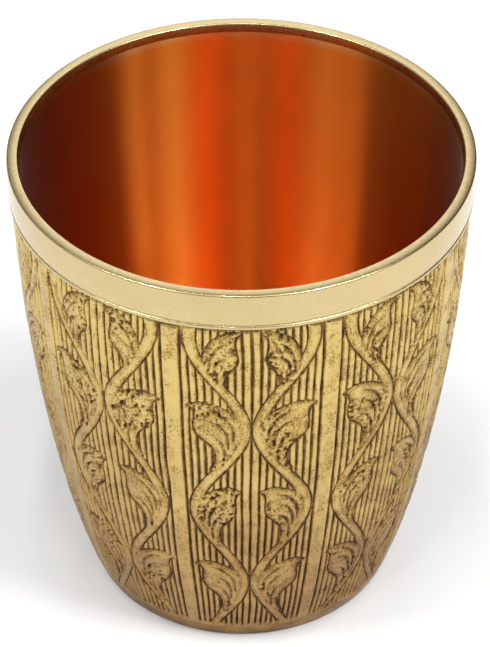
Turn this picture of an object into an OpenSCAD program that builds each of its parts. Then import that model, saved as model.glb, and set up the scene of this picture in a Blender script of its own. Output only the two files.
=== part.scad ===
// Embossed brass drinking tumbler with a copper liner.
// A copper cup sits inside an embossed brass sleeve. A turned band caps both
// at the mouth and a turned ring carries them at the foot.
// Millimetres, +Z up, origin at the centre of the foot on the surface it stands on.

/* [Overall] */
// Outside diameter of the rim band
rim_d = 76; // [66:1:90]
// Height from the foot to the lip
height = 85; // [75:1:100]

/* [Body curve] */
// Straight inward lean of the wall from the band to the foot
wall_lean = 1.2; // [0:0.1:3]
// Inward bow of the wall, growing with the square of the distance from the band
wall_bow = 8.8; // [4:0.1:10]
// Extra tuck of the wall just above the foot
wall_tuck = 1.13; // [0:0.01:1.5]

/* [Rim band] */
// Height of the plain band, down to the embossing
band_h = 6.9; // [5:0.1:9]
// Step from the band's face down to the tops of the ribs
band_proud = 0.42; // [0.3:0.01:0.6]
// Height of the bevel along the band's lower edge
band_bevel_h = 0.8; // [0.4:0.1:1.2]
// Width of the bevel along the band's lower edge
band_bevel_w = 0.4; // [0.2:0.05:0.6]
// Rounding of the lip's outer edge
lip_round = 0.6; // [0.3:0.05:0.7]
// Height of the brass that shows inside the mouth
lip_depth = 1.5; // [1.2:0.1:2]
// Slope of the lip's inner face, measured across
lip_chamfer = 0.4; // [0.2:0.05:0.5]

/* [Walls] */
// Thickness of the copper liner
liner_t = 0.65; // [0.5:0.05:0.8]
// Thickness of the sleeve under its lowest ground
sleeve_t = 0.5; // [0.4:0.05:0.6]
// Height of the embossing above its ground
relief_h = 0.55; // [0.4:0.05:0.6]
// Radius of the liner's outer bottom corner
corner_r = 4; // [3:0.25:5]

/* [Embossing] */
// Number of panels around the body
panel_count = 9; // [6:1:10]
// Width of the flat rib between two panels, in degrees
rib_deg = 3.4; // [2:0.1:5]
// Width of each thin ridge on a panel's middle line, in degrees
ridge_deg = 1.1; // [0.6:0.1:1.5]
// Groove between the two thin ridges, in degrees
ridge_gap_deg = 0.7; // [0.4:0.1:1.2]
// Direction of the first flat rib, in degrees from +X
first_rib_deg = -107.5; // [-180:0.5:180]

/* [Foot] */
// Height of the plain foot ring
foot_h = 2.8; // [2.5:0.1:3.2]
// Width of the face that the tumbler stands on
foot_w = 1.9; // [1.5:0.1:2.2]
// Depth of the recess under the base
recess_h = 1.4; // [1:0.1:1.6]
// Thickness of the base disc
base_t = 1; // [0.6:0.1:1]
// Width of the ledge that carries the base disc
ledge_w = 0.8; // [0.5:0.1:1]

/* [Hidden] */
$fn = 180;
rim_r = rim_d / 2;
shoulder_z = height - band_h;
seat_z = height - lip_depth;
solder_h = 0.4;
groove_depth = 0.2;
groove_w = 0.5;
dimple_r = 1.2;
wall_steps = 12;
corner_steps = 8;
pocket_overrun = 0.5;
collar_step = 0.05;

// Outside radius of the body over the ribs, at height z
function depth(z) = min(1, max(0, (shoulder_z - z) / shoulder_z));
function body_r(z) =
    rim_r - band_proud - wall_lean * depth(z) - wall_bow * pow(depth(z), 2)
    - wall_tuck * pow(depth(z), 10);
function ground_r(z) = body_r(z) - relief_h;
function sleeve_bore_r(z) = ground_r(z) - sleeve_t;
function liner_bore_r(z) = sleeve_bore_r(z) - liner_t;

collar_r = ground_r(shoulder_z) - collar_step;
disc_r = body_r(0) - foot_w + ledge_w;
floor_z = recess_h + base_t;

// The liner's bottom corner is an arc that runs out of the sloping wall
corner_z = floor_z + corner_r;
bend_z = floor_z + 0.7 * corner_r;
corner_slope = atan((body_r(bend_z + 1) - body_r(bend_z - 1)) / 2);
corner_top_z = corner_z - corner_r * sin(corner_slope);
corner_x = sleeve_bore_r(corner_top_z) - corner_r * cos(corner_slope);

// Heights that the wall's curve is drawn through, from the corner to the band
function level(i) = corner_top_z + (shoulder_z - corner_top_z) * i / wall_steps;

// Point of the sleeve's ground at height z, and where the line from a to b meets a height
function ground_point(z) = [ground_r(z), z];
function on_line(a, b, z) = a + (b - a) * (z - a[1]) / (b[1] - a[1]);

// Point on the liner's bottom corner, k steps down from the wall
function corner_angle(k) = -corner_slope - (90 - corner_slope) * k / corner_steps;
function corner_point(r, k) =
    [corner_x + r * cos(corner_angle(k)), corner_z + r * sin(corner_angle(k))];

// The order that the tumbler is put together in, from the inside out

// Spun copper cup that holds the drink
module copper_liner() {
    outer_wall = [
        for (i = [wall_steps:-1:0])
            [sleeve_bore_r(level(i)), level(i)]
    ];
    inner_wall = [
        for (i = [0:wall_steps])
            [liner_bore_r(level(i)), level(i)]
    ];
    outer_corner = [for (k = [1:corner_steps]) corner_point(corner_r, k)];
    inner_corner = [for (k = [corner_steps:-1:1]) corner_point(corner_r - liner_t, k)];
    color("#b5532f")
        rotate_extrude()
            polygon(concat(
                [[sleeve_bore_r(seat_z), seat_z]],
                outer_wall,
                outer_corner,
                [[0, floor_z], [0, floor_z + liner_t]],
                inner_corner,
                inner_wall,
                [[liner_bore_r(seat_z), seat_z]]
            ));
}

// Disc that closes the foot and carries the liner's floor
module base_disc() {
    color("#b98a4b")
        difference() {
            translate([0, 0, recess_h])
                cylinder(r = disc_r, h = base_t);
            translate([0, 0, recess_h - base_t])
                cylinder(r = dimple_r, h = base_t + groove_depth);
            for (share = [0.45, 0.8])
                translate([0, 0, recess_h - base_t])
                    difference() {
                        cylinder(r = disc_r * share, h = base_t + groove_depth);
                        cylinder(r = disc_r * share - groove_w, h = base_t + groove_depth);
                    }
        }
}

// Turned ring under the sleeve, with a ledge for the base disc
module foot_ring() {
    inner_r = disc_r - ledge_w;
    color("#c79a55")
        rotate_extrude()
            polygon([
                [inner_r, 0],
                [body_r(0), 0],
                [body_r(foot_h / 2), foot_h / 2],
                [body_r(foot_h), foot_h],
                [sleeve_bore_r(foot_h), foot_h],
                [disc_r, floor_z],
                [disc_r, recess_h],
                [inner_r, recess_h]
            ]);
}

// Solder run into the corner between the foot ring, the sleeve and the liner
module base_solder() {
    corner_side = [for (k = [0:corner_steps]) corner_point(corner_r, k)];
    color("#9a9a98")
        rotate_extrude()
            polygon(concat(
                corner_side,
                [[disc_r, floor_z], [sleeve_bore_r(foot_h), foot_h]]
            ));
}

// Sunk stretch of the sleeve's face between two ribs, run out past both ends
module pocket(start_deg, end_deg) {
    ground = [for (i = [wall_steps - 1:-1:0]) ground_point(level(i))];
    top_z = shoulder_z + pocket_overrun;
    bottom_z = foot_h - pocket_overrun;
    top_end = on_line(ground[0], ground_point(shoulder_z), top_z);
    bottom_end = on_line(ground[wall_steps - 1], ground_point(foot_h), bottom_z);
    rotate([0, 0, start_deg])
        rotate_extrude(angle = end_deg - start_deg)
            polygon(concat(
                [[rim_r, bottom_z], [rim_r, top_z], top_end],
                ground,
                [bottom_end]
            ));
}

// Embossed brass sleeve with its collar, flat ribs and twin ridges
module embossed_sleeve() {
    face = [for (i = [0:wall_steps]) [body_r(level(i)), level(i)]];
    bore = [for (i = [wall_steps:-1:0]) [sleeve_bore_r(level(i)), level(i)]];
    foot_end = [
        [sleeve_bore_r(foot_h), foot_h],
        [body_r(foot_h), foot_h]
    ];
    collar_top_z = seat_z - solder_h;
    collar = [
        [collar_r, shoulder_z],
        [collar_r, collar_top_z],
        [sleeve_bore_r(collar_top_z), collar_top_z]
    ];
    rib_edge = rib_deg / 2;
    ridge_edge = ridge_gap_deg / 2;
    middle = 180 / panel_count;
    color("#b08d52")
        difference() {
            rotate_extrude()
                polygon(concat(face, collar, bore, foot_end));
            for (i = [0:panel_count - 1])
                rotate([0, 0, first_rib_deg + 2 * middle * i]) {
                    pocket(rib_edge, middle - ridge_edge - ridge_deg);
                    pocket(middle - ridge_edge, middle + ridge_edge);
                    pocket(middle + ridge_edge + ridge_deg, 2 * middle - rib_edge);
                }
        }
}

// Solder in the channel above the sleeve's collar
module rim_solder() {
    color("#9a9a98")
        translate([0, 0, seat_z - solder_h])
            difference() {
                cylinder(r = collar_r, h = solder_h);
                translate([0, 0, -solder_h])
                    cylinder(r = sleeve_bore_r(seat_z), h = 3 * solder_h);
            }
}

// Turned band that caps the sleeve and the liner
module rim_band() {
    round_steps = 6;
    round_x = rim_r - lip_round;
    round_z = height - lip_round;
    lip = [
        for (k = [0:round_steps])
            [
                round_x + lip_round * cos(90 * k / round_steps),
                round_z + lip_round * sin(90 * k / round_steps)
            ]
    ];
    color("#dcc38e")
        rotate_extrude()
            polygon(concat(
                [
                    [collar_r, shoulder_z],
                    [rim_r - band_bevel_w, shoulder_z],
                    [rim_r, shoulder_z + band_bevel_h]
                ],
                lip,
                [
                    [liner_bore_r(seat_z) + lip_chamfer, height],
                    [liner_bore_r(seat_z), seat_z],
                    [collar_r, seat_z]
                ]
            ));
}

copper_liner();
base_disc();
foot_ring();
base_solder();
embossed_sleeve();
rim_solder();
rim_band();
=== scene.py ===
import math

import bpy
import numpy as np
from mathutils import Matrix, Vector


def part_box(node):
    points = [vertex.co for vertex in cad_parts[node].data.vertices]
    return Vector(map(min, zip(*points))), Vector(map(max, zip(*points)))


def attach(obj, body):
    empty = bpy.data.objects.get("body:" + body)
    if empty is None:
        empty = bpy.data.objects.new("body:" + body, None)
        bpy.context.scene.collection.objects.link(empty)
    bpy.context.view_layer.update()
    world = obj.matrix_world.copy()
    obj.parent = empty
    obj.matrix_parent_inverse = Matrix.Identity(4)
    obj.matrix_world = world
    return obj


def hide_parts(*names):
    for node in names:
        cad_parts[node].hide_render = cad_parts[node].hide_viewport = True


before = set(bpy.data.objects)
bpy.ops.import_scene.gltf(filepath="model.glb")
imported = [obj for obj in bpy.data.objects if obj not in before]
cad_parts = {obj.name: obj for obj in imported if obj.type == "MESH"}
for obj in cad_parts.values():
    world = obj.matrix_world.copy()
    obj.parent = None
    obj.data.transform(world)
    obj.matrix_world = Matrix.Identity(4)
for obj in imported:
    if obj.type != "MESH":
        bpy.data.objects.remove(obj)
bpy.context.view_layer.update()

MM = 0.001
SEED = 7
SHARP_DEG = 40
RELIEF_SHARP_DEG = 80

# ---------------------------------------------------------------- measures
# All lengths are in millimetres until mesh_object() turns them into metres.

RIM_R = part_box("rim_band")[1][0] / MM
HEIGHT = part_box("rim_band")[1][2] / MM
SHOULDER_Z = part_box("rim_band")[0][2] / MM
SEAT_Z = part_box("copper_liner")[1][2] / MM
COLLAR_TOP_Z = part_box("embossed_sleeve")[1][2] / MM
FOOT_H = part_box("foot_ring")[1][2] / MM
RECESS_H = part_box("base_disc")[0][2] / MM
FLOOR_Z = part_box("base_disc")[1][2] / MM
DISC_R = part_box("base_disc")[1][0] / MM
COLLAR_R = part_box("rim_solder")[1][0] / MM

# The wall's curve and its layers, as in the CAD source
BAND_PROUD = 0.42
WALL_LEAN, WALL_BOW, WALL_TUCK = 1.2, 8.8, 1.13
RELIEF_H = 0.55
SLEEVE_T = 0.5
LINER_T = 0.65
CORNER_R = 4.0
LIP_CHAMFER = 0.28
BEVEL_H, BEVEL_W = 0.8, 0.4
BEAD_NECK = 0.15
LEDGE_W = 0.8


def body_r(z):
    """Outside radius over the ribs at height z, a number or an array."""
    s = np.clip((SHOULDER_Z - z) / SHOULDER_Z, 0, 1)
    return RIM_R - BAND_PROUD - WALL_LEAN * s - WALL_BOW * s**2 - WALL_TUCK * s**10


def bore_r(z):
    """Radius where the sleeve meets the liner."""
    return body_r(z) - RELIEF_H - SLEEVE_T


LIP_R = bore_r(SEAT_Z) - LINER_T


# ---------------------------------------------------------------- mesh tools


def mesh_object(name, verts, faces, sharp_angle=None):
    """A smooth-shaded object in metres from vertices in millimetres."""
    mesh = bpy.data.meshes.new(name)
    mesh.from_pydata((np.asarray(verts) * MM).tolist(), [], faces)
    mesh.polygons.foreach_set("use_smooth", np.ones(len(mesh.polygons), bool))
    mesh.validate()
    if sharp_angle is not None:
        mesh.set_sharp_from_angle(angle=math.radians(sharp_angle))
    made = bpy.data.objects.new(name, mesh)
    bpy.context.scene.collection.objects.link(made)
    return made


def grid_faces(rows, columns, closed_rows=False):
    """Quads of a grid whose columns close on themselves, row by row."""
    count = rows if closed_rows else rows - 1
    row = np.arange(count)[:, None]
    column = np.arange(columns)[None, :]
    after = (column + 1) % columns
    below = (row + 1) % rows
    quads = np.stack(
        [
            row * columns + column,
            row * columns + after,
            below * columns + after,
            below * columns + column,
        ],
        axis=-1,
    )
    return quads.reshape(-1, 4)


def fillet(outline, radii, steps=6):
    """A closed (r, z) outline with its corners rounded. A radius of 0 keeps a corner sharp."""
    points = []
    for i, radius in enumerate(radii):
        corner = np.array(outline[i], float)
        if radius == 0:
            points.append(corner)
            continue
        before = np.array(outline[i - 1], float) - corner
        after = np.array(outline[(i + 1) % len(outline)], float) - corner
        before /= np.linalg.norm(before)
        after /= np.linalg.norm(after)
        half = math.acos(np.clip(before @ after, -1, 1)) / 2
        middle = (before + after) / np.linalg.norm(before + after)
        centre = corner + middle * radius / math.sin(half)
        start = corner + before * radius / math.tan(half) - centre
        end = corner + after * radius / math.tan(half) - centre
        turn = math.pi - 2 * half
        for k in range(steps + 1):
            share = k / steps
            weight_start = math.sin((1 - share) * turn) / math.sin(turn)
            weight_end = math.sin(share * turn) / math.sin(turn)
            points.append(centre + weight_start * start + weight_end * end)
    return np.array(points)


def spin(outline, segments, wobble):
    """Rings of vertices, one for each (r, z) point. wobble adds to the radius."""
    angle = np.arange(segments) * 2 * math.pi / segments
    radius = np.repeat(outline[:, :1], segments, 1)
    height = np.repeat(outline[:, 1:], segments, 1)
    if wobble is not None:
        radius = radius + wobble(angle[None, :], height)
    verts = np.stack([radius * np.cos(angle), radius * np.sin(angle), height], -1)
    return verts.reshape(-1, 3)


def lathe(name, outline, segments, wobble=None):
    """A solid of revolution from a closed (r, z) outline with no point on the axis."""
    outline = np.asarray(outline)
    faces = grid_faces(len(outline), segments, closed_rows=True).tolist()
    return mesh_object(name, spin(outline, segments, wobble), faces, SHARP_DEG)


def lathe_open(name, outline, segments, wobble=None):
    """A solid of revolution whose outline starts and ends on the axis."""
    outline = np.asarray(outline)
    ring = outline[1:-1]
    verts = spin(ring, segments, wobble)
    faces = grid_faces(len(ring), segments).tolist()
    first, last = len(verts), len(verts) + 1
    verts = np.vstack([verts, [0, 0, outline[0][1]], [0, 0, outline[-1][1]]])
    base = (len(ring) - 1) * segments
    for k in range(segments):
        after = (k + 1) % segments
        faces.append([first, after, k])
        faces.append([last, base + k, base + after])
    return mesh_object(name, verts, faces, SHARP_DEG)


def smoothstep(low, high, x):
    """0 up to low, 1 from high on, and a smooth rise between them; high may be below low."""
    t = np.clip((x - low) / (high - low), 0, 1)
    return t * t * (3 - 2 * t)


def wrapped_noise(rng, rows, columns, cells_down, cells_round):
    """Smooth noise from -1 to 1 on a grid whose columns close on themselves."""
    knots = rng.uniform(-1, 1, (cells_down + 2, cells_round))
    y = np.linspace(0, cells_down, rows)
    x = np.arange(columns) * cells_round / columns
    y0, x0 = np.floor(y).astype(int), np.floor(x).astype(int)
    fy = (y - y0)[:, None]
    fx = (x - x0)[None, :]
    fy, fx = fy * fy * (3 - 2 * fy), fx * fx * (3 - 2 * fx)
    x1 = (x0 + 1) % cells_round
    top = knots[y0][:, x0] * (1 - fx) + knots[y0][:, x1] * fx
    low = knots[y0 + 1][:, x0] * (1 - fx) + knots[y0 + 1][:, x1] * fx
    return top * (1 - fy) + low * fy


# ---------------------------------------------------------------- relief pattern
# Across: degrees from a panel's middle line. Down: millimetres below the lip.

PANELS = 9
HALF_DEG = 180 / PANELS
MIDDLE_DEG = -87.5
RIB_DEG = 3.4
RIB_EDGE_DEG = HALF_DEG - RIB_DEG / 2
RIB_GROOVE_DEG = 0.72
REED_DEG = 1.9
FIRST_REED_DEG = 2.3
VINE_MIDDLE_DEG = 8.55
VINE_SWING_DEG = 6.65
VINE_TOP = 9.2
VINE_HALF_PERIOD = 19.6
VINE_HALF_DEG = 1.7
VINE_TURNS = 5
# Leaves that reach towards a panel's middle line are narrower than those towards its ribs
MIDDLE_LEAF_SHARE = 0.88
# The most that a leaf reaches above and below its turn of the vine
LEAF_ABOVE, LEAF_BELOW = 8, 12

# Heights in millimetres, from the tops of the ribs down. The moat is the groove round the
# vine and its leaves.
REED_GROOVE, REED_RISE = -0.50, 0.46
RIB_TOP, RIB_GROOVE = -0.01, -0.53
MOAT_DEPTH = -0.52
LEAF_MIDDLE, LEAF_RIM_DROP = -0.02, 0.22
# Depth below the mean of what is near at which the cavity attributes reach 1
CAVITY_FULL, WIDE_CAVITY_FULL = 0.2, 0.3

# A leaf in its own bay: degrees from the vine's turn, millimetres below it
LEAF_EDGE = [
    (0.0, -2.0), (1.8, -3.1), (3.8, -4.1), (5.8, -5.0), (8.2, -5.6), (11.2, -5.9), (14.6, -5.0),
    (13.2, -4.2), (12.6, -2.8), (12.8, -1.2), (12.7, 0.4), (11.6, 1.8), (9.6, 3.0), (8.0, 4.4),
    (7.3, 6.0), (7.6, 7.8), (8.8, 9.6), (6.4, 9.4), (3.2, 6.3), (1.0, 3.0), (0.0, 0.6),
]
LEAF_VEINS = [
    [(2.7, 2.4), (2.8, 0.0), (4.2, -2.0), (6.4, -3.4), (8.8, -4.2), (11.4, -4.5)],
    [(4.1, 4.3), (4.2, 1.8), (5.4, -0.2), (7.4, -1.5), (10.2, -2.3)],
    [(5.2, 7.2), (5.0, 4.9), (5.7, 3.1), (7.3, 1.6), (10.0, 0.5)],
]
# The first leaf under the band is set lower on its vine, with a gap between the two
TOP_LEAF_DROP = 3.8
TOP_LEAF_EDGE = [
    (3.6, 1.6), (3.7, 0.2), (4.2, -1.2), (5.4, -2.7), (7.2, -3.9), (9.4, -4.7), (12.0, -5.3),
    (14.8, -5.0), (13.2, -4.2), (12.7, -2.8), (12.9, -1.2), (13.3, 0.4), (12.5, 1.8),
    (10.8, 3.0), (9.6, 4.5), (9.2, 6.0), (7.8, 6.2), (5.6, 4.4),
]
TOP_LEAF_VEINS = [
    [(5.4, 2.8), (5.9, 0.4), (7.2, -1.4), (9.2, -2.6), (11.6, -3.4)],
    [(6.7, 3.6), (7.1, 1.6), (9.0, 0.3), (12.0, -0.4)],
    [(7.6, 5.4), (7.6, 3.7), (8.6, 2.5)],
]


def curve_through(points, closed=False, steps=8):
    """A Catmull-Rom curve through the points."""
    p = np.array(points, float)
    if closed:
        p = np.vstack([p[-1], p, p[:2]])
    else:
        p = np.vstack([2 * p[0] - p[1], p, 2 * p[-1] - p[-2]])
    t = np.arange(steps)[:, None] / steps
    out = []
    for a, b, c, d in zip(p[:-3], p[1:-2], p[2:-1], p[3:]):
        out.append(
            0.5 * (2 * b + (c - a) * t + (2 * a - 5 * b + 4 * c - d) * t**2
                   + (3 * b - a - 3 * c + d) * t**3)
        )
    if not closed:
        out.append(p[-2:-1])
    return np.vstack(out)


def to_segments(x, y, scale, line):
    """Distance to a polyline, and how far along it the nearest point lies, from 0 to 1."""
    best = np.full(x.shape, 1e9)
    along = np.zeros(x.shape)
    count = len(line) - 1
    for k in range(count):
        ax, ay = line[k][0] * scale, line[k][1]
        bx, by = line[k + 1][0] * scale - ax, line[k + 1][1] - ay
        px, py = x - ax, y - ay
        t = np.clip((px * bx + py * by) / (bx * bx + by * by + 1e-12), 0, 1)
        away = np.hypot(px - t * bx, py - t * by)
        near = away < best
        best = np.where(near, away, best)
        along = np.where(near, (k + t) / count, along)
    return best, along


def inside(x, y, line):
    """True inside a closed polyline, in the line's own units."""
    odd = np.zeros(x.shape, bool)
    for (ax, ay), (bx, by) in zip(line, np.roll(line, -1, 0)):
        crosses = (ay > y) != (by > y)
        reach = ax + (y - ay) * (bx - ax) / (by - ay if by != ay else 1)
        odd ^= crosses & (x < reach)
    return odd


def vine_deg(down):
    """Where the vine's middle runs, in degrees from the panel's middle line."""
    return VINE_MIDDLE_DEG + VINE_SWING_DEG * np.cos(
        math.pi * (down - VINE_TOP) / VINE_HALF_PERIOD
    )


def relief(across, down, mm_per_deg, wear):
    """(height in mm, 0 at the ribs' tops and negative below, and leafness from 0 to 1).

    All four arguments are arrays with one value for each place. wear is from -1 to 1, and
    where it is high the grooves are wider and the veins deeper.
    """
    # Reeding: rounded ridges between narrow grooves
    k = np.round((across - FIRST_REED_DEG) / REED_DEG)
    groove = np.abs(across - FIRST_REED_DEG - np.maximum(k, 0) * REED_DEG)
    groove = np.minimum(groove, across)
    floor_deg = 0.20 + 0.11 * wear
    rise = np.clip((groove - floor_deg) / (0.5 * REED_DEG - floor_deg), 0, 1)
    height = REED_GROOVE + REED_RISE * np.sqrt(1 - (1 - rise) ** 2)

    # Vine and leaves: distance outside their common edge, in mm
    slope = -VINE_SWING_DEG * math.pi / VINE_HALF_PERIOD * np.sin(
        math.pi * (down - VINE_TOP) / VINE_HALF_PERIOD
    )
    lean = np.sqrt(1 + (slope * mm_per_deg) ** 2)
    from_vine = (across - vine_deg(down)) * mm_per_deg / lean
    edge = np.abs(from_vine) - VINE_HALF_DEG * mm_per_deg / lean
    leafness = np.zeros(across.shape)
    vein = np.zeros(across.shape)
    for turn in range(VINE_TURNS):
        turn_down = VINE_TOP + turn * VINE_HALF_PERIOD
        towards_rib = turn % 2 == 1
        squeeze = 1.0 if towards_rib else MIDDLE_LEAF_SHARE
        side = 1 if towards_rib else -1
        out = side * (across - vine_deg(turn_down)) / squeeze
        below = down - turn_down - (TOP_LEAF_DROP if turn == 0 else 0)
        rows = (below > -LEAF_ABOVE).any(1) & (below < LEAF_BELOW).any(1)
        if not rows.any():
            continue
        shape, veins = (TOP_LEAF_EDGE, TOP_LEAF_VEINS) if turn == 0 else (LEAF_EDGE, LEAF_VEINS)
        outline = curve_through(shape, closed=True)
        ring = np.vstack([outline, outline[:1]])
        x, y = out[rows], below[rows]
        scale = mm_per_deg[rows] * squeeze
        away, _ = to_segments(x * scale, y, scale, ring)
        away = np.where(inside(x, y, outline), -away, away)
        edge[rows] = np.minimum(edge[rows], away)
        leafness[rows] = np.maximum(leafness[rows], smoothstep(0.2, -0.4, away))
        for points in veins:
            line = curve_through(points)
            away, along = to_segments(x * scale, y, scale, line)
            half = 0.07 + 0.23 * np.sin(math.pi * along**0.6)
            cut = 1 - smoothstep(half * 0.4, half + 0.14, away)
            vein[rows] = np.maximum(vein[rows], cut * np.clip(2.6 * (1 - along), 0.2, 1))

    moat = 1 - smoothstep(0.06 + 0.08 * wear, 0.30 + 0.10 * wear, edge)
    crown = smoothstep(-1.3, -0.1, edge)
    plateau = LEAF_MIDDLE - LEAF_RIM_DROP * crown
    plateau = plateau - (0.27 + 0.09 * wear) * vein
    shoulder = smoothstep(0.02, -0.2, edge)
    carved = np.minimum(height, MOAT_DEPTH * moat)
    height = carved * (1 - shoulder) + plateau * shoulder

    # Flat ribs between the panels, with a deep groove beside each
    rib = smoothstep(RIB_EDGE_DEG - 0.35, RIB_EDGE_DEG + 0.12, across)
    height = height * (1 - rib) + RIB_TOP * rib
    beside = 1 - smoothstep(0.12, 0.5, np.abs(across - (RIB_EDGE_DEG - RIB_GROOVE_DEG)))
    height = np.minimum(height, RIB_GROOVE * beside)
    return height, leafness * (1 - rib)


def box_blur(field, size):
    """Mean over a square window; columns wrap, rows are held at the ends."""
    window = 2 * size + 1
    padded = np.pad(field, ((size, size), (0, 0)), mode="edge")
    total = np.zeros_like(field)
    for start in range(window):
        total += padded[start : start + len(field)]
    total /= window
    out = np.zeros_like(field)
    for dx in range(-size, size + 1):
        out += np.roll(total, dx, 1)
    return out / window


def embossed_sleeve(columns=PANELS * 168, rows=290):
    """The sleeve with its relief as real geometry.

    The material reads its point attributes. depth is 1 at the relief's full depth, leaf is 1
    on the leaves, and the two cavities say how far a place lies below what is near it.
    """
    rng = np.random.default_rng(SEED)
    z = np.linspace(SHOULDER_Z, FOOT_H, rows)[:, None] * np.ones((1, columns))
    angle = np.arange(columns)[None, :] * 2 * math.pi / columns
    down = HEIGHT - z
    mm_per_deg = body_r(z) * math.pi / 180

    # A hand-made pattern: the drawing wanders a little from panel to panel
    drift_across = 0.22 * wrapped_noise(rng, rows, columns, 10, 36)
    drift_down = 0.22 * wrapped_noise(rng, rows, columns, 9, 30)
    turned = np.degrees(angle) - MIDDLE_DEG + drift_across
    across = np.abs((turned + HALF_DEG) % (2 * HALF_DEG) - HALF_DEG)
    wear = wrapped_noise(rng, rows, columns, 14, 54)
    height, leafness = relief(across, down + drift_down, mm_per_deg, wear)

    # The casting's skin: a coarse and a fine grain, with pits in patches, most on the leaves
    rough = wrapped_noise(rng, rows, columns, 70, 210)
    fine = wrapped_noise(rng, rows, columns, 200, 620)
    height = height + 0.018 * fine + rough * (0.016 + 0.03 * leafness)
    pits = smoothstep(0.2, 0.55, wrapped_noise(rng, rows, columns, 160, 520))
    pit_patch = smoothstep(-0.45, 0.35, wrapped_noise(rng, rows, columns, 13, 48))
    height -= 0.30 * pits * pit_patch * np.clip(0.10 + leafness, 0, 1)

    # A ragged shadow line under the band, and the relief dying away above the foot
    ragged = 0.26 + 0.30 * wrapped_noise(rng, rows, columns, 4, 170)
    under_band = 1 - smoothstep(-0.1, 0.35, SHOULDER_Z - z - np.maximum(ragged, 0))
    height = height * (1 - under_band) - 0.5 * under_band
    above_foot = z - FOOT_H - 0.25 * rough
    height = height * smoothstep(0.05, 1.5, above_foot)
    height = np.clip(height, -RELIEF_H + 0.01, 0.0)
    radius = body_r(z) + height

    cavity = box_blur(height, 3) - height
    wide_cavity = box_blur(height, 9) - height

    # The hidden faces: collar, bore and the foot end
    hidden = [
        (bore_r(FOOT_H), FOOT_H),
        *[(bore_r(h), h) for h in np.linspace(FOOT_H + 2, SHOULDER_Z, 14)],
        (bore_r(SHOULDER_Z), COLLAR_TOP_Z),
        (COLLAR_R, COLLAR_TOP_Z),
        (COLLAR_R, SHOULDER_Z),
    ]
    hidden_r = np.array([r for r, _ in hidden])[:, None] * np.ones((1, columns))
    hidden_z = np.array([h for _, h in hidden])[:, None] * np.ones((1, columns))
    all_r = np.vstack([radius, hidden_r])
    all_z = np.vstack([z, hidden_z])
    verts = np.stack([all_r * np.cos(angle), all_r * np.sin(angle), all_z], -1)
    faces = grid_faces(len(all_r), columns, closed_rows=True)[:, ::-1]
    made = mesh_object("relief_sleeve", verts.reshape(-1, 3), faces.tolist(), RELIEF_SHARP_DEG)
    blank = np.zeros(hidden_r.size)
    for name, field in (
        ("depth", -height / RELIEF_H),
        ("cavity", cavity / CAVITY_FULL),
        ("wide_cavity", wide_cavity / WIDE_CAVITY_FULL),
        ("leaf", leafness),
    ):
        layer = made.data.attributes.new(name, "FLOAT", "POINT")
        values = np.concatenate([field.ravel(), blank]).astype(np.float32)
        layer.data.foreach_set("value", values)
    return made


# ---------------------------------------------------------------- materials


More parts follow.
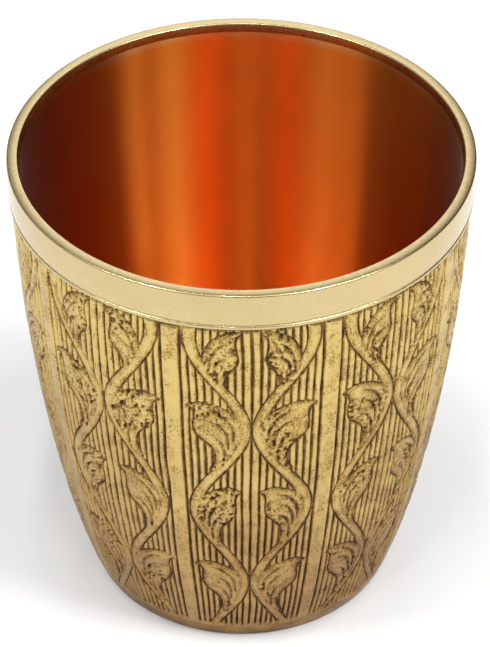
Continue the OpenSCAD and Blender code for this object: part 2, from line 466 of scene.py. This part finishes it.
class Nodes:
    """Short names for building one material's node tree."""

    def __init__(self, name):
        self.material = bpy.data.materials.new(name)
        self.material.use_nodes = True
        self.tree = self.material.node_tree
        self.shader = self.tree.nodes["Principled BSDF"]

    def add(self, kind, **settings):
        node = self.tree.nodes.new(kind)
        for key, value in settings.items():
            setattr(node, key, value)
        return node

    def link(self, source, target):
        self.tree.links.new(source, target)

    def attribute(self, name):
        return self.add("ShaderNodeAttribute", attribute_name=name).outputs["Fac"]

    def place(self):
        """Object coordinates in millimetres."""
        scaled = self.add("ShaderNodeVectorMath", operation="SCALE")
        coordinates = self.add("ShaderNodeTexCoord")
        self.link(coordinates.outputs["Object"], scaled.inputs[0])
        scaled.inputs["Scale"].default_value = 1 / MM
        return scaled.outputs[0]

    def split(self, vector):
        """The X, Y and Z outputs of a vector."""
        node = self.add("ShaderNodeSeparateXYZ")
        self.link(vector, node.inputs[0])
        return tuple(node.outputs)

    def from_axis(self, vector):
        """Distance from the tumbler's axis, in the vector's own units."""
        flat = self.add("ShaderNodeMapping")
        self.link(vector, flat.inputs["Vector"])
        flat.inputs["Scale"].default_value = (1, 1, 0)
        length = self.add("ShaderNodeVectorMath", operation="LENGTH")
        self.link(flat.outputs[0], length.inputs[0])
        return length.outputs["Value"]

    def noise(self, vector, scale, detail, stretch=None):
        """Noise of about 0.3 to 0.7. A larger stretch along an axis gives finer noise along it."""
        if stretch is not None:
            shaped = self.add("ShaderNodeMapping")
            self.link(vector, shaped.inputs["Vector"])
            shaped.inputs["Scale"].default_value = stretch
            vector = shaped.outputs[0]
        node = self.add("ShaderNodeTexNoise")
        self.link(vector, node.inputs["Vector"])
        node.inputs["Scale"].default_value = scale
        node.inputs["Detail"].default_value = detail
        return node.outputs["Fac"]

    def math(self, operation, a, b=None, clamp=False):
        node = self.add("ShaderNodeMath", operation=operation, use_clamp=clamp)
        for socket, value in zip(node.inputs, (a, b)):
            if value is None:
                continue
            if isinstance(value, (int, float)):
                socket.default_value = value
            else:
                self.link(value, socket)
        return node.outputs[0]

    def ramp(self, value, stops):
        """A colour that runs through the stops, each a (position, colour)."""
        node = self.add("ShaderNodeValToRGB")
        self.link(value, node.inputs["Fac"])
        elements = node.color_ramp.elements
        while len(elements) < len(stops):
            elements.new(0.5)
        for element, (position, colour) in zip(elements, stops):
            element.position = position
            element.color = (*colour, 1)
        return node.outputs["Color"]

    def range(self, value, low, high, to_low, to_high):
        """Maps low to to_low and high to to_high, and holds the value outside them."""
        node = self.add("ShaderNodeMapRange")
        self.link(value, node.inputs["Value"])
        names = ("From Min", "From Max", "To Min", "To Max")
        for name, number in zip(names, (low, high, to_low, to_high)):
            node.inputs[name].default_value = number
        return node.outputs[0]

    def spread(self, noise, low, high):
        """Noise stretched from its usual 0.3 to 0.7 to run from low to high."""
        return self.range(noise, 0.3, 0.7, low, high)

    def mix(self, share, a, b, blend="MIX"):
        """a where share is 0 and b where it is 1. A tuple is a plain colour."""
        node = self.add("ShaderNodeMix", data_type="RGBA", blend_type=blend)
        if isinstance(share, (int, float)):
            node.inputs["Factor"].default_value = share
        else:
            self.link(share, node.inputs["Factor"])
        for socket, value in zip((node.inputs[6], node.inputs[7]), (a, b)):
            if isinstance(value, tuple):
                socket.default_value = (*value, 1)
            else:
                self.link(value, socket)
        return node.outputs[2]

    def bump(self, height, distance_mm, strength=1.0, normal=None):
        node = self.add("ShaderNodeBump")
        self.link(height, node.inputs["Height"])
        node.inputs["Distance"].default_value = distance_mm * MM
        node.inputs["Strength"].default_value = strength
        if normal is not None:
            self.link(normal, node.inputs["Normal"])
        return node.outputs["Normal"]

    def set(self, **sockets):
        """Sets or links the shader's sockets, with _ for the spaces in their names."""
        for name, value in sockets.items():
            socket = self.shader.inputs[name.replace("_", " ")]
            if isinstance(value, (int, float, tuple)):
                socket.default_value = value
            else:
                self.link(value, socket)


def aged_brass():
    """Cast brass: worn bright on its high parts, dark in its recesses, pitted."""
    n = Nodes("aged_brass")
    place = n.place()
    broad = n.noise(place, 0.055, 3)
    patches = n.noise(place, 0.35, 4)
    mottle = n.noise(place, 1.1, 3)
    grain = n.noise(place, 3.6, 4)
    broken = n.noise(place, 0.9, 3, (1.0, 1.0, 0.35))
    brushed = n.noise(place, 2.0, 3, (1.0, 1.0, 0.1))

    # Darkness: 0 is worn bright, and from about 0.8 it is full patina
    sunk = n.math("POWER", n.attribute("depth"), 1.4)
    sunk = n.math("MULTIPLY", sunk, n.spread(broken, 0.32, 0.64))
    x, _, z = n.split(place)
    sunk = n.math("MULTIPLY", sunk, n.range(z, 45.0, 78.0, 1.0, 0.78))
    dark = sunk
    for name, weight in (("cavity", 0.10), ("leaf", 0.05), ("wide_cavity", 0.10)):
        dark = n.math("ADD", dark, n.math("MULTIPLY", n.attribute(name), weight))
    for noise, least, most in (
        (patches, -0.10, 0.18),
        (mottle, -0.08, 0.08),
        (grain, -0.18, 0.2),
        (brushed, -0.06, 0.06),
    ):
        dark = n.math("ADD", dark, n.spread(noise, least, most))
    # Painted shade: darker towards +X, the side away from the light
    dark = n.math("ADD", dark, n.range(x, -10.0, 34.0, -0.02, 0.07))
    colour = n.ramp(
        dark,
        [
            (0.0, (0.60, 0.445, 0.155)),
            (0.18, (0.50, 0.33, 0.082)),
            (0.42, (0.30, 0.162, 0.042)),
            (0.76, (0.075, 0.036, 0.018)),
        ],
    )

    # Darker and browner towards the foot
    low = n.range(z, 8.0, 70.0, 1.0, 0.0)
    low = n.math("ADD", low, n.range(broad, 0.35, 0.65, -0.2, 0.2), clamp=True)
    colour = n.mix(low, colour, (0.58, 0.46, 0.42), "MULTIPLY")

    # Casting pits, in patches and mostly on the leaves
    pits = n.add("ShaderNodeTexVoronoi", feature="F1")
    n.link(place, pits.inputs["Vector"])
    pits.inputs["Scale"].default_value = 2.3
    pit = n.range(pits.outputs["Distance"], 0.16, 0.32, 1.0, 0.0)
    where = n.math("ADD", patches, n.math("MULTIPLY", n.attribute("leaf"), 0.14))
    pit = n.math("MULTIPLY", pit, n.range(where, 0.40, 0.56, 0.0, 1.0), clamp=True)
    colour = n.mix(pit, colour, (0.05, 0.03, 0.018))
    surface = n.math("SUBTRACT", n.math("MULTIPLY", grain, 0.8), pit)
    n.set(
        Base_Color=colour,
        Metallic=n.range(dark, 0.35, 0.75, 1.0, 0.75),
        Roughness=n.range(dark, 0.0, 0.6, 0.34, 0.75),
        Specular_IOR_Level=0.25,
        Coat_Weight=0.15,
        Coat_Roughness=0.25,
        Normal=n.bump(surface, 0.08, 0.9),
    )
    return n.material


def polished_brass():
    """Turned and buffed brass with faint rings and scratches, redder low inside the lip."""
    n = Nodes("polished_brass")
    place = n.place()
    rings = n.noise(place, 1.0, 1, (0.05, 0.05, 2.5))
    cloud = n.noise(place, 0.12, 3)
    scratches = n.noise(place, 0.8, 2, (1.0, 1.0, 3.0))
    colour = n.mix(n.spread(cloud, 0.0, 1.0), (0.53, 0.405, 0.19), (0.57, 0.44, 0.21))
    _, _, z = n.split(place)
    inner = n.range(n.from_axis(place), LIP_R + 0.3, LIP_R + 0.7, 1.0, 0.0)
    deep = n.math("ADD", z, n.spread(cloud, -0.3, 0.3))
    inner = n.math("MULTIPLY", inner, n.range(deep, SEAT_Z + 0.1, SEAT_Z + 1.2, 1.0, 0.0))
    colour = n.mix(inner, colour, (0.46, 0.23, 0.06))
    n.set(
        Base_Color=colour,
        Metallic=1.0,
        Roughness=n.spread(scratches, 0.26, 0.30),
        Coat_Weight=0.5,
        Coat_Roughness=0.12,
        Normal=n.bump(rings, 0.005, 0.1),
    )
    return n.material


def turned_brass():
    """Satin brass on the foot, a little tarnished."""
    n = Nodes("turned_brass")
    place = n.place()
    rings = n.noise(place, 1.0, 3, (0.05, 0.05, 8.0))
    cloud = n.noise(place, 0.25, 4)
    colour = n.ramp(
        cloud,
        [(0.3, (0.18, 0.092, 0.027)), (0.55, (0.29, 0.155, 0.045)), (0.75, (0.38, 0.22, 0.07))],
    )
    n.set(
        Base_Color=colour,
        Metallic=1.0,
        Roughness=n.spread(cloud, 0.45, 0.3),
        Normal=n.bump(rings, 0.015, 0.5),
    )
    return n.material


def base_brass():
    """Lathe-faced brass under the base, with turned rings and tarnish."""
    n = Nodes("base_brass")
    place = n.place()
    rings = n.math("SINE", n.math("MULTIPLY", n.from_axis(place), 14.0))
    cloud = n.noise(place, 0.15, 5)
    colour = n.ramp(
        cloud,
        [(0.3, (0.30, 0.19, 0.08)), (0.5, (0.52, 0.34, 0.14)), (0.7, (0.64, 0.44, 0.20))],
    )
    n.set(
        Base_Color=colour,
        Metallic=1.0,
        Roughness=n.spread(cloud, 0.5, 0.32),
        Normal=n.bump(rings, 0.02, 0.5),
    )
    return n.material


def polished_copper():
    """Spun copper, brushed round the bore so that highlights run up it, brassy at the lip."""
    n = Nodes("polished_copper")
    place = n.place()
    rings = n.noise(place, 1.0, 2, (0.03, 0.03, 5.0))
    cloud = n.noise(place, 0.09, 3)
    colour = n.mix(n.spread(cloud, 0.0, 1.0), (0.79, 0.275, 0.035), (0.83, 0.30, 0.042))
    _, _, z = n.split(place)
    ragged = n.math("ADD", z, n.spread(cloud, -0.5, 0.5))
    colour = n.mix(n.range(ragged, SEAT_Z - 1.8, SEAT_Z, 0.0, 0.8), colour, (0.74, 0.52, 0.2))
    # The dark Specular Tint is painted shade, for looks: it keeps the sides, seen at a grazing
    # angle, dark
    around = n.add("ShaderNodeTangent", direction_type="RADIAL", axis="Z")
    n.link(around.outputs[0], n.shader.inputs["Tangent"])
    n.set(
        Base_Color=colour,
        Metallic=1.0,
        Roughness=0.30,
        Specular_Tint=(0.06, 0.09, 0.12, 1),
        Sheen_Weight=0.10,
        Sheen_Roughness=0.3,
        Anisotropic=1.0,
        Anisotropic_Rotation=0.25,
        Normal=n.bump(rings, 0.02, 0.5),
    )
    return n.material


def soft_solder():
    """Dull grey solder."""
    n = Nodes("soft_solder")
    grain = n.noise(n.place(), 2.0, 4)
    n.set(
        Base_Color=n.ramp(grain, [(0.3, (0.33, 0.33, 0.32)), (0.7, (0.55, 0.55, 0.53))]),
        Metallic=1.0,
        Roughness=n.spread(grain, 0.6, 0.42),
        Normal=n.bump(grain, 0.03, 0.6),
    )
    return n.material


# ---------------------------------------------------------------- pieces


def rim_band():
    """The capping band: a rounded lip, a plain face, a shallow neck and a bevelled bead."""
    bead_top_z = SHOULDER_Z + BEVEL_H
    outline = [
        (COLLAR_R, SHOULDER_Z),
        (RIM_R - BEVEL_W, SHOULDER_Z),
        (RIM_R, SHOULDER_Z + 0.45 * BEVEL_H),
        (RIM_R, bead_top_z),
        (RIM_R - BEAD_NECK, bead_top_z + 0.08),
        (RIM_R - BEAD_NECK, bead_top_z + 0.2),
        (RIM_R, bead_top_z + 0.45),
        (RIM_R, HEIGHT),
        (LIP_R + LIP_CHAMFER, HEIGHT),
        (LIP_R, SEAT_Z),
        (COLLAR_R, SEAT_Z),
    ]
    corner_radii = [0, 0.1, 0.2, 0.17, 0.03, 0.05, 0.3, 0.28, 0.25, 0, 0]
    rng = np.random.default_rng(SEED + 1)
    phase = rng.uniform(0, 2 * math.pi, 4)

    def hand_buffed(angle, height):
        lobes = sum(np.sin((k + 2) * angle + phase[k]) / (k + 2) for k in range(4))
        return -0.02 * np.abs(lobes) * np.ones_like(height)

    return lathe("polished_band", fillet(outline, corner_radii)[::-1], 360, wobble=hand_buffed)


def copper_cup():
    """The liner: a smooth spun cup, a little uneven to the eye as hand polishing leaves it."""
    slope_z = FLOOR_Z + 0.7 * CORNER_R
    slope = math.atan((body_r(slope_z + 1) - body_r(slope_z - 1)) / 2)
    corner_z = FLOOR_Z + CORNER_R
    top_z = corner_z - CORNER_R * math.sin(slope)
    corner_x = bore_r(top_z) - CORNER_R * math.cos(slope)
    levels = np.linspace(SEAT_Z, top_z, 64)
    turns = np.linspace(-slope, -math.pi / 2, 14)[1:]

    def arc(radius):
        return [(corner_x + radius * math.cos(a), corner_z + radius * math.sin(a)) for a in turns]

    floor_r = np.linspace(corner_x, 0.4, 10)[1:]
    inner = [(bore_r(z) - LINER_T, z) for z in levels]
    inner += arc(CORNER_R - LINER_T)
    inner += [(r, FLOOR_Z + LINER_T) for r in floor_r] + [(0, FLOOR_Z + LINER_T)]
    outer = [(bore_r(z), z) for z in levels]
    outer += arc(CORNER_R)
    outer += [(corner_x * 0.5, FLOOR_Z), (0, FLOOR_Z)]
    outline = outer[::-1] + inner
    rng = np.random.default_rng(SEED + 2)
    waves = [(k, rng.uniform(0, 2 * math.pi), rng.uniform(0.3, 1.0)) for k in range(7, 46, 2)]
    ring_count = len(outer) - 1

    def hand_polished(angle, height):
        wave = sum(size * np.sin(k * angle + phase) / k for k, phase, size in waves)
        rows = np.arange(height.shape[0])[:, None]
        fade = smoothstep(FLOOR_Z + 1.0, FLOOR_Z + 12.0, height)
        fade = fade * (1 - smoothstep(SEAT_Z - 9.0, SEAT_Z - 0.5, height))
        return np.where(rows >= ring_count, 0.10 * wave * fade, 0.0)

    return lathe_open("copper_cup", outline, 360, wobble=hand_polished)


def foot():
    """The turned ring that the tumbler stands on."""
    inner_r = DISC_R - LEDGE_W
    outline = [
        (inner_r, 0),
        (body_r(0), 0),
        (body_r(FOOT_H / 2), FOOT_H / 2),
        (body_r(FOOT_H), FOOT_H),
        (bore_r(FOOT_H), FOOT_H),
        (DISC_R, FLOOR_Z),
        (DISC_R, RECESS_H),
        (inner_r, RECESS_H),
    ]
    corner_radii = [0.2, 0.25, 0.5, 0.12, 0, 0, 0, 0.1]
    return lathe("turned_foot", fillet(outline, corner_radii)[::-1], 300)


def dress(piece, material, slot, *nodes):
    """Gives a piece its material and its body, and hides the CAD nodes it stands for. slot is not
    used.
    """
    piece.data.materials.append(material)
    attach(piece, "root")
    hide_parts(*nodes)


dress(embossed_sleeve(), aged_brass(), "aged_brass", "embossed_sleeve")
dress(rim_band(), polished_brass(), "polished_brass", "rim_band")
dress(copper_cup(), polished_copper(), "copper", "copper_liner")
dress(foot(), turned_brass(), "foot_brass", "foot_ring")
SOLDER = soft_solder()
for node, material in (
    ("base_disc", base_brass()),
    ("base_solder", SOLDER),
    ("rim_solder", SOLDER),
):
    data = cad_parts[node].data
    data.materials.clear()
    data.materials.append(material)


# ---------------------------------------------------------------- studio


# Angle of the camera above the horizon, seen from the middle of the mouth
VIEW_RISE = math.radians(36.22)
CAMERA_RADII = 12
CAMERA_PITCH = math.radians(39.78)
CAMERA_TURN = math.radians(-0.09)
# Millimetres, along the picture's longer side
SENSOR, LENS = 36, 156.653
CLIP_END_M = 20

FLOOR_HALF = 2500
STRIP_AWAY = 900


def studio_floor():
    """A wide pale sheet that the tumbler stands on."""
    signs = [(-1, -1), (1, -1), (1, 1), (-1, 1)]
    verts = [(x * FLOOR_HALF, y * FLOOR_HALF, 0) for x, y in signs]
    floor = mesh_object("studio_floor", verts, [(0, 1, 2, 3)])
    n = Nodes("pale_floor")
    mottle = n.noise(n.place(), 0.02, 2)
    n.set(
        Base_Color=n.ramp(mottle, [(0.3, (0.93, 0.94, 0.95)), (0.7, (0.95, 0.96, 0.97))]),
        Roughness=0.9,
    )
    floor.data.materials.append(n.material)


def area_light(name, place, rotation, size, watts):
    """A white rectangular light. Its place and size are in millimetres."""
    data = bpy.data.lights.new(name, "AREA")
    data.shape = "RECTANGLE"
    data.size, data.size_y = size[0] * MM, size[1] * MM
    data.energy = watts
    lamp = bpy.data.objects.new(name, data)
    lamp.location = place * MM
    lamp.rotation_euler = rotation
    bpy.context.scene.collection.objects.link(lamp)


def softbox(name, place, aim, size, watts):
    """A light that is aimed at a point, in millimetres."""
    place = Vector(place)
    rotation = (Vector(aim) - place).to_track_quat("-Z", "Y").to_euler()
    area_light(name, place, rotation, size, watts)


def copper_strip(name, wall_deg, tilts, width, watts):
    """A strip light that shows as one upright streak in the copper.

    wall_deg is the streak's place on the far wall, positive to the right. The light runs
    along the places that the wall there sends to the camera when its brushing tilts the
    reflection up by each of the two angles.
    """
    view = Vector((0, -math.cos(VIEW_RISE), math.sin(VIEW_RISE)))
    turn = math.radians(wall_deg)
    ends = []
    for tilt in map(math.radians, tilts):
        facing = Vector((
            -math.sin(turn) * math.cos(tilt),
            -math.cos(turn) * math.cos(tilt),
            math.sin(tilt),
        ))
        ends.append(STRIP_AWAY * (2 * facing.dot(view) * facing - view))
    middle = (ends[0] + ends[1]) / 2
    along = (ends[1] - ends[0]).normalized()
    out = (middle - along * middle.dot(along)).normalized()
    rotation = Matrix((along.cross(out), along, out)).transposed().to_euler()
    area_light(name, middle, rotation, (width, (ends[1] - ends[0]).length), watts)


def studio_world(strength, leftward, backward):
    """A plain white surround, brighter by leftward towards -X and by backward towards +Y."""
    world = bpy.data.worlds.new("studio")
    world.use_nodes = True
    nodes, links = world.node_tree.nodes, world.node_tree.links
    direction = nodes.new("ShaderNodeTexCoord")
    slope = nodes.new("ShaderNodeVectorMath")
    slope.operation = "DOT_PRODUCT"
    slope.inputs[1].default_value = (-leftward, backward, 0)
    total = nodes.new("ShaderNodeMath")
    total.inputs[1].default_value = strength
    links.new(direction.outputs["Generated"], slope.inputs[0])
    links.new(slope.outputs["Value"], total.inputs[0])
    background = nodes["Background"]
    background.inputs["Color"].default_value = (1, 1, 1, 1)
    links.new(total.outputs[0], background.inputs["Strength"])
    bpy.context.scene.world = world


def camera():
    """It looks down into the mouth, aimed below the lip so that all the tumbler is in view."""
    away = CAMERA_RADII * RIM_R
    data = bpy.data.cameras.new("camera")
    data.sensor_width = SENSOR
    data.lens = LENS
    data.clip_end = CLIP_END_M
    made = bpy.data.objects.new("camera", data)
    made.location = Vector(
        (0, -away * math.cos(VIEW_RISE), HEIGHT + away * math.sin(VIEW_RISE))
    ) * MM
    made.rotation_euler = (math.pi / 2 - CAMERA_PITCH, 0, CAMERA_TURN)
    bpy.context.scene.collection.objects.link(made)
    bpy.context.scene.camera = made


studio_floor()
studio_world(strength=0.29, leftward=0.23, backward=-0.16)
copper_strip("left_inner", wall_deg=-17.5, tilts=(48, 61), width=14, watts=4.1)
copper_strip("left_outer", wall_deg=-29.0, tilts=(40, 54), width=14, watts=1.5)
copper_strip("right_inner", wall_deg=21.5, tilts=(50, 62), width=14, watts=2.4)
copper_strip("right_outer", wall_deg=31.0, tilts=(44, 57), width=10, watts=0.7)
copper_strip("centre", wall_deg=2.6, tilts=(52, 64), width=24, watts=1.3)
softbox("back", place=(0, 760, 600), aim=(0, 0, 50), size=(260, 340), watts=0.52)
camera()
bpy.context.scene.view_settings.view_transform = "Standard"
